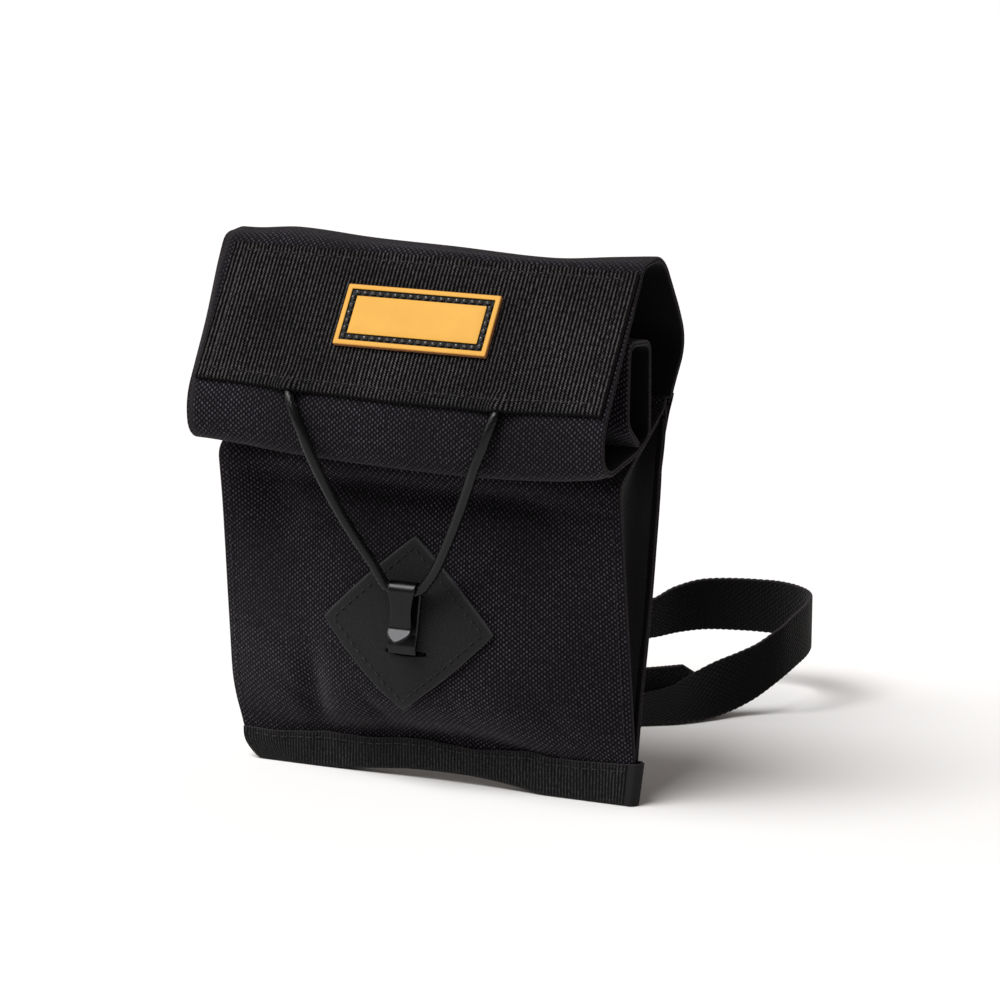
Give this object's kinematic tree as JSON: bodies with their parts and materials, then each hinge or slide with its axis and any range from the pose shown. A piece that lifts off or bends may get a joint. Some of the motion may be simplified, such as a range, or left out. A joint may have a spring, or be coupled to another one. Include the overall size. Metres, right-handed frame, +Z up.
{
  "type": "handlebar bag",
  "caption": "Small roll-top handlebar bag of black canvas on a bound bottom seam, rolled mouth with webbing band and blank label, closed by an elastic cord on a hook, strap looped behind.",
  "frame": {"origin": "middle of the footprint, bag and strap together, on the ground", "axes": "+Z up, the front with the label faces -Y, X runs along the bottom seam"},
  "size_m": [0.152, 0.2148, 0.1842],
  "materials": {
    "coated_canvas": "matt coated basket-weave canvas",
    "webbing": "matt ribbed nylon webbing",
    "grosgrain": "matt ribbed grosgrain tape",
    "label": "matt moulded rubber with a stitched black groove",
    "synthetic_leather": "fine-grained matt synthetic leather",
    "black_metal": "satin black anodised aluminium",
    "elastic_cord": "braided matt sheath over elastic"
  },
  "bodies": {
    "root": {"front_panel": "coated_canvas", "back_panel": "coated_canvas", "side_gusset_left": "coated_canvas", "side_gusset_right": "coated_canvas", "roll_collar": "coated_canvas", "bottom_binding": "grosgrain", "webbing_band": "webbing", "label_patch": "label", "diamond_patch": "synthetic_leather", "cord_hook": "black_metal", "shock_cord": "elastic_cord", "back_webbing": "webbing", "strap": "webbing"}
  },
  "joints": []
}
